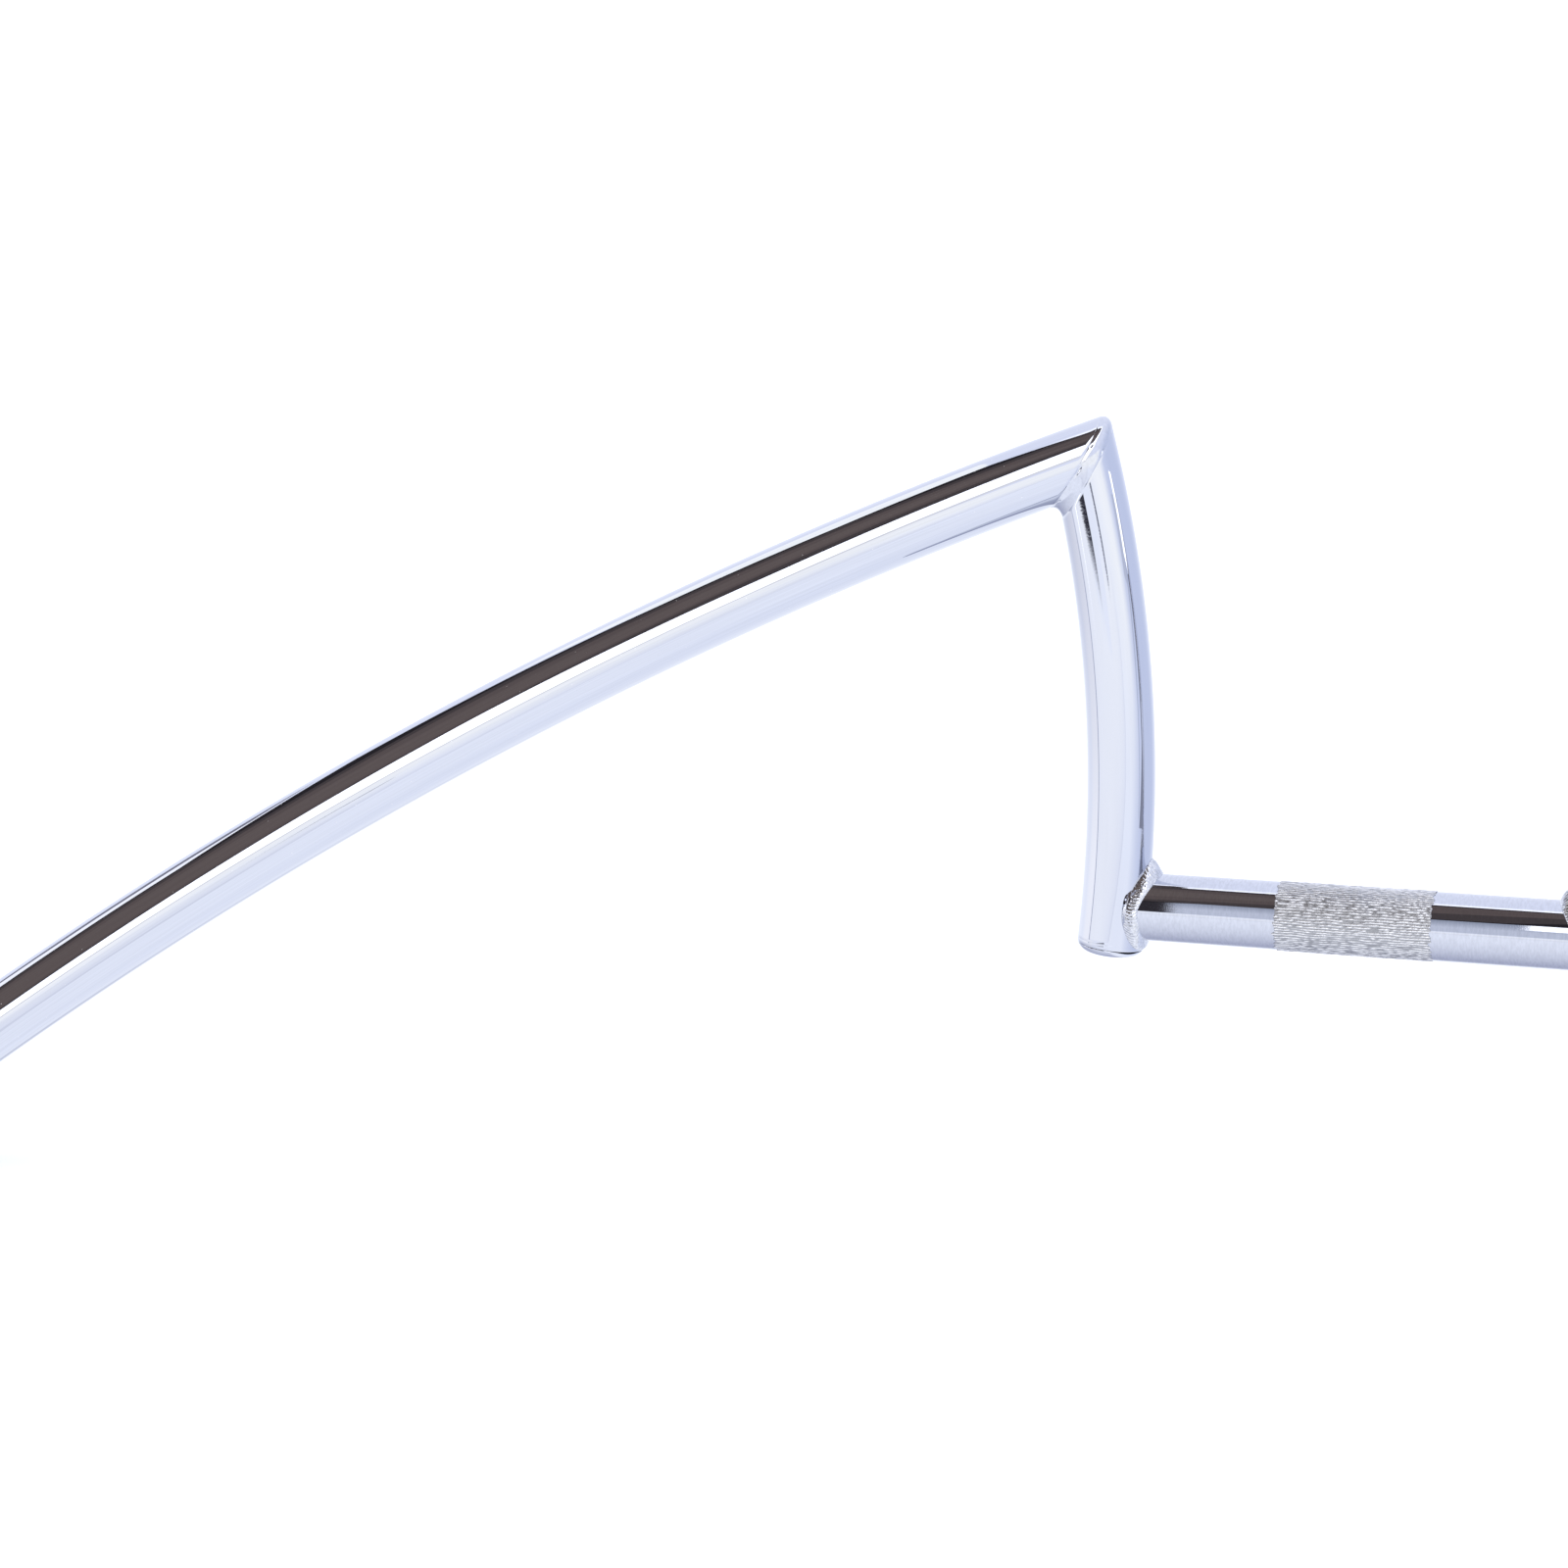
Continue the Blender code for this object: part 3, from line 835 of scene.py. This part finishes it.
add_piece("clamp_tube_smooth", clamp_tube_mesh(), clamp_chrome, "knurled_chrome", "clamp_tube")
add_piece("knurl_band", knurl_mesh(), knurl_chrome, "knurled_chrome", "clamp_tube")


# ---------------------------------------------------------------- studio


def emitter(name, colour):
    """A material that gives off one tone."""
    material = bpy.data.materials.new(name)
    material.use_nodes = True
    tree = material.node_tree
    tree.nodes.clear()
    glow = tree.nodes.new("ShaderNodeEmission")
    glow.inputs["Color"].default_value = (*colour, 1.0)
    out = tree.nodes.new("ShaderNodeOutputMaterial")
    tree.links.new(glow.outputs["Emission"], out.inputs["Surface"])
    return material


def stage_card(name, mesh):
    """Put a reflector in the studio that shows only in the chrome."""
    card = bpy.data.objects.new(name, mesh)
    bpy.context.scene.collection.objects.link(card)
    card.visible_camera = False
    card.visible_diffuse = False
    card.visible_shadow = False


def flat_card(name, corners, colour):
    """A flat reflector of one tone."""
    mesh = bpy.data.meshes.new(name)
    mesh.from_pydata(corners, [], [list(range(len(corners)))])
    mesh.materials.append(emitter(name, colour))
    stage_card(name, mesh)


# The gap in the roof of the light tent, a metre up, and its dark lining seen a little below it.
GAP_HEIGHT = 1.0


def roof_card(name, outline, drop, colour):
    """A level card a little below the gap's height, or above it where the drop is negative."""
    flat_card(name, [(x, y, GAP_HEIGHT - drop) for x, y in outline], colour)


roof_card("roof_gap", [
    (0.10, -0.30), (0.00, -0.90), (-0.05, -1.35), (-0.17, -1.45), (-0.40, -1.54), (-0.66, -2.33),
    (-1.35, -4.20), (-3.40, -4.20), (-3.40, -0.40), (-1.42, 0.00), (-1.45, 0.65), (-0.77, 0.12),
    (-0.55, 0.05), (-0.44, 0.15), (-0.28, -0.05), (0.05, -0.06),
], 0.0, (0.030, 0.026, 0.030))
roof_card("roof_lining_edge", [
    (0.06, -0.31), (-0.12, -1.28), (-0.47, -1.61), (-0.62, -2.00), (-1.42, -4.17), (-3.37, -4.17),
    (-3.37, -0.47), (-1.30, -0.12), (-1.00, 0.12), (-0.62, -0.03), (-0.45, -0.03), (0.02, -0.09),
], 0.003, (0.090, 0.074, 0.073))
roof_card("roof_lining", [
    (0.02, -0.35), (-0.44, -1.35), (-0.76, -2.15), (-1.60, -4.12), (-3.32, -4.12), (-3.32, -0.75),
    (-1.20, -0.34), (-0.95, -0.16), (-0.28, -0.18), (-0.02, -0.14),
], 0.006, (0.152, 0.119, 0.111))
roof_card("roof_lining_middle", [
    (-0.10, -0.42), (-0.36, -0.86), (-0.75, -1.62), (-1.70, -3.60), (-3.10, -3.60), (-2.40, -1.10),
    (-1.50, -0.66), (-1.10, -0.58), (-0.28, -0.30),
], 0.009, (0.176, 0.140, 0.128))
roof_card("roof_beam", [
    (-1.50, 0.40), (-1.66, 0.92), (-2.70, 0.98), (-2.45, 0.66), (-1.90, 0.40),
], 0.0, (0.30, 0.30, 0.37))
# Two bright areas just above the gap's level, so that its card hides a part of them from below.
roof_card("roof_glow", [
    (-1.36, -0.20), (-1.36, 0.42), (-3.0, 0.60), (-3.0, -0.60),
], -0.003, (1.50, 1.50, 1.52))
roof_card("roof_window", [
    (-1.22, 0.62), (-0.77, 0.12), (-0.55, 0.04), (-0.44, 0.14), (-0.60, 0.58), (-0.95, 0.58),
    (-1.20, 0.80),
], -0.004, (1.46, 1.47, 1.42))

# A strip softbox in front of the left handle, upright.
STRIP_Y = -0.30
flat_card("strip_softbox", [(x, STRIP_Y, z) for x, z in (
    (-0.46, -0.045), (-0.40, 0.003), (-0.20, 0.200), (-0.16, 0.262), (-0.166, 0.274),
    (-0.282, 0.206), (-0.424, 0.036), (-0.47, -0.015),
)], (2.3, 2.3, 2.35))


def riser_reflection_card(name, outline, colour):
    """A card midway between the risers that shows only in the chrome, painting a reflection into
    their inner sides.
    """
    flat_card(name, [(0.0, y, z) for y, z in outline], colour)


# Painted reflection in the risers' inner sides: painted shade low down, a painted highlight above
# and a painted shade along it.
riser_reflection_card("riser_inner_painted_shade", [
    (-0.0215, 0.0125), (-0.0120, 0.045), (-0.0130, 0.110), (-0.0085, 0.110), (-0.0080, 0.045),
    (-0.0010, 0.0125),
], (0.34, 0.36, 0.45))
riser_reflection_card("riser_inner_painted_highlight", [
    (-0.0095, 0.111), (-0.0165, 0.118), (-0.0165, 0.150), (-0.0065, 0.150), (-0.0070, 0.118),
], (2.2, 2.2, 2.2))
riser_reflection_card("riser_inner_painted_shade_band", [
    (-0.0200, 0.104), (-0.0310, 0.108), (-0.0290, 0.140), (-0.0168, 0.140), (-0.0168, 0.113),
], (0.74, 0.78, 0.92))

FLOOR_REACH = 60
floor_mesh = bpy.data.meshes.new("floor")
floor_mesh.from_pydata([
    (x * FLOOR_REACH, y * FLOOR_REACH, cad_low.z) for x, y in ((-1, -1), (1, -1), (1, 1), (-1, 1))
], [], [(0, 1, 2, 3)])
floor = bpy.data.objects.new("floor", floor_mesh)
bpy.context.scene.collection.objects.link(floor)
paper = bpy.data.materials.new("floor_paper")
paper.use_nodes = True
paper_shader = paper.node_tree.nodes["Principled BSDF"]
paper_shader.inputs["Base Color"].default_value = (0.93, 0.93, 0.95, 1)
paper_shader.inputs["Roughness"].default_value = 0.9
paper_shader.inputs["Specular IOR Level"].default_value = 0.0
floor_mesh.materials.append(paper)
# The chrome shows the tent below the floor's level, which holds the floor's tones.
floor.visible_glossy = False


def paper_front():
    """The table beyond the floor paper's front edge, which only the chrome shows.

    It is a strip of the table that grows brighter away from the paper, whose own edge is a thin
    line. Each point of the edge has the depth of the strip there.
    """
    edge = [
        (-0.55, -0.10, 0.30), (-0.355, -0.232, 0.33), (-0.16, -0.350, 0.40), (-0.03, -0.425, 0.40),
        (0.00, -0.440, 0.55), (0.12, -0.500, 0.55), (0.24, -0.610, 0.55), (0.38, -0.790, 0.55),
        (0.55, -1.050, 0.55),
    ]
    middle_y = 0.6
    line_width = 0.02
    steps = [0.0, 0.018, 0.024, 0.06, 0.12, 0.22, 0.4, 0.6]
    points, shades = [], []
    for x, y, depth in edge:
        out = Vector((x, y - middle_y)).normalized()
        for step in steps:
            reach = min(step, depth)
            points.append((x + out.x * reach, y + out.y * reach, cad_low.z + 0.0005))
            shades.append(0.0 if reach < line_width else 0.12 + 0.88 * reach / (reach + 0.3))
    row = len(steps)
    faces = [
        (i * row + j, i * row + j + 1, (i + 1) * row + j + 1, (i + 1) * row + j)
        for i in range(len(edge) - 1) for j in range(row - 1)
    ]
    mesh = bpy.data.meshes.new("paper_front")
    mesh.from_pydata(points, [], faces)
    mesh.attributes.new("shade", "FLOAT", "POINT").data.foreach_set("value", shades)
    material = emitter("table_front", (1, 1, 1))
    nodes = Nodes(material.node_tree)
    line, near, far = (1.04, 1.07, 1.17), (1.15, 1.18, 1.28), (1.47, 1.47, 1.42)
    tone = nodes.ramp(nodes.attribute("shade", "Fac"), [(0.0, line), (0.12, near), (1.0, far)])
    nodes.join(tone, material.node_tree.nodes["Emission"].inputs["Color"])
    mesh.materials.append(material)
    stage_card("paper_front", mesh)


paper_front()


def heading(azimuth, elevation):
    """The direction at an azimuth from -Y toward +X and an elevation, in degrees."""
    turn, rise = math.radians(azimuth), math.radians(elevation)
    level = math.cos(rise)
    return Vector((math.sin(turn) * level, -math.cos(turn) * level, math.sin(rise)))


def through(first, second):
    """The normal of the plane that holds two (azimuth, elevation) headings."""
    return heading(*first).cross(heading(*second)).normalized()


def build_world():
    """The light tent by direction: pale all round, with its softbox, panels and darker corners.

    A mask is a node's output that goes from 0 to 1 by direction, and x, y and z are the
    direction's own parts.
    """
    world = bpy.data.worlds.new("light_tent")
    bpy.context.scene.world = world
    world.use_nodes = True
    nodes = Nodes(world.node_tree)
    ray = nodes.add("ShaderNodeTexCoord").outputs["Generated"]
    split = nodes.add("ShaderNodeSeparateXYZ")
    nodes.join(ray, split.inputs[0])
    x, y, z = split.outputs

    def dot(normal):
        product = nodes.add("ShaderNodeVectorMath", operation="DOT_PRODUCT")
        nodes.join(ray, product.inputs[0])
        product.inputs[1].default_value = normal
        return product.outputs["Value"]

    def beyond(normal, offset=0.0, soft=0.02):
        """1 where the direction lies on the side of a plane that its normal points to."""
        return nodes.share(dot(normal), offset - soft / 2, offset + soft / 2)

    def past(azimuth, soft=0.01):
        """1 where the azimuth is greater, within half a turn."""
        return beyond(heading(azimuth + 90, 0), 0.0, soft)

    def before(azimuth, soft=0.01):
        """1 where the azimuth is less, within half a turn."""
        return beyond(heading(azimuth - 90, 0), 0.0, soft)

    def both(*masks):
        """1 where all the masks are 1."""
        result = masks[0]
        for mask in masks[1:]:
            result = nodes.math("MULTIPLY", result, mask)
        return result

    share, paint = nodes.share, nodes.mix

    # Walls and floor: brighter to the left and in front on the right, bluer to the right, and
    # greyer below on the left.
    colour = paint((1.12, 1.16, 1.31), share(z, 0.02, -0.02), (1.25, 1.285, 1.366))
    left_floor = both(share(dot(heading(-78, -14)), 0.88, 0.97), share(z, 0.05, -0.05))
    colour = paint(colour, left_floor, (1.37, 1.365, 1.38))
    colour = paint(colour, share(dot(heading(112, -8)), 0.42, 0.93), (0.84, 0.91, 1.13))
    foot_shade = both(
        share(x, 0.04, -0.06), share(z, -0.15, -0.40), share(y, -0.95, 0.45), share(y, 0.80, 0.62)
    )
    colour = paint(colour, foot_shade, (0.60, 0.63, 0.79))
    pale = both(past(-4, 0.06), before(66, 0.3), share(z, -0.20, -0.06), share(z, 0.22, 0.18))
    colour = paint(colour, pale, (1.42, 1.42, 1.38))

    # The white softbox in front and the thin grey line of its frame.
    lower = dot(through((3.6, 5.0), (17.5, 9.5)))
    right = dot(through((17.5, 8.5), (19.6, 18.0)))
    soft_front = share(y, 0.1, -0.1)
    frame_line = both(
        share(lower, -0.056, -0.050), share(right, -0.050, -0.044), soft_front, past(-4, 0.02)
    )
    colour = paint(colour, frame_line, (1.08, 1.07, 1.07))
    softbox = both(
        share(lower, -0.004, 0.006), share(right, -0.004, 0.006), soft_front, share(z, -0.002, 0.014)
    )
    colour = paint(colour, softbox, (2.3, 2.3, 2.35))

    # The grey panel in front on the left, darker toward its top, and the black one beside it.
    bottom = share(z, -0.055, -0.045)
    sharp_front = share(y, 0.05, -0.05)
    wedge = nodes.math("MAXIMUM", share(x, -0.0966, -0.0976), share(z, 0.335, 0.325))
    grey_edge = share(x, -0.1964, -0.1956)
    grey = both(bottom, share(z, 0.82, 0.79), sharp_front, grey_edge, before(-4.5), wedge)
    colour = paint(colour, grey, (0.82, 0.86, 0.98))
    colour = paint(colour, both(grey, share(z, 0.22, 0.56)), (0.42, 0.46, 0.56))
    black_edge = share(x, -0.1956, -0.1964)
    black = both(bottom, share(z, 0.60, 0.56), black_edge, past(-62, 0.02), sharp_front)
    colour = paint(colour, black, (0.045, 0.040, 0.046))

    # The dark thing low in front that the top of the riser shows, and a thin grey rod beside it.
    faded, full = math.cos(math.radians(25)), math.cos(math.radians(10))
    low_thing = both(
        beyond(through((-18, -14.3), (-31, -16.2)), 0.009, 0.018), share(z, -0.340, -0.325),
        before(-13.2), share(dot(heading(-20, -17)), faded, full),
    )
    colour = paint(colour, low_thing, (0.035, 0.033, 0.050))
    rod = both(
        past(13.2, 0.012), before(18.6, 0.012), share(z, -0.1695, -0.1670), share(z, -0.142, -0.147)
    )
    colour = paint(colour, rod, (0.22, 0.23, 0.29))
    background = world.node_tree.nodes["Background"]
    nodes.join(colour, background.inputs["Color"])
    background.inputs["Strength"].default_value = 1.0


build_world()


# ---------------------------------------------------------------- camera

camera_data = bpy.data.cameras.new("camera")
camera_data.lens = 80.0
camera_data.sensor_width = 36.0
camera_data.clip_end = 100.0
camera = bpy.data.objects.new("camera", camera_data)
camera.location = (0.1632, -1.0920, 0.2462)
camera.rotation_euler = (math.radians(90 - 10.49), 0.0, math.radians(18.06))
bpy.context.scene.collection.objects.link(camera)
bpy.context.scene.camera = camera
bpy.context.scene.view_settings.view_transform = "Standard"
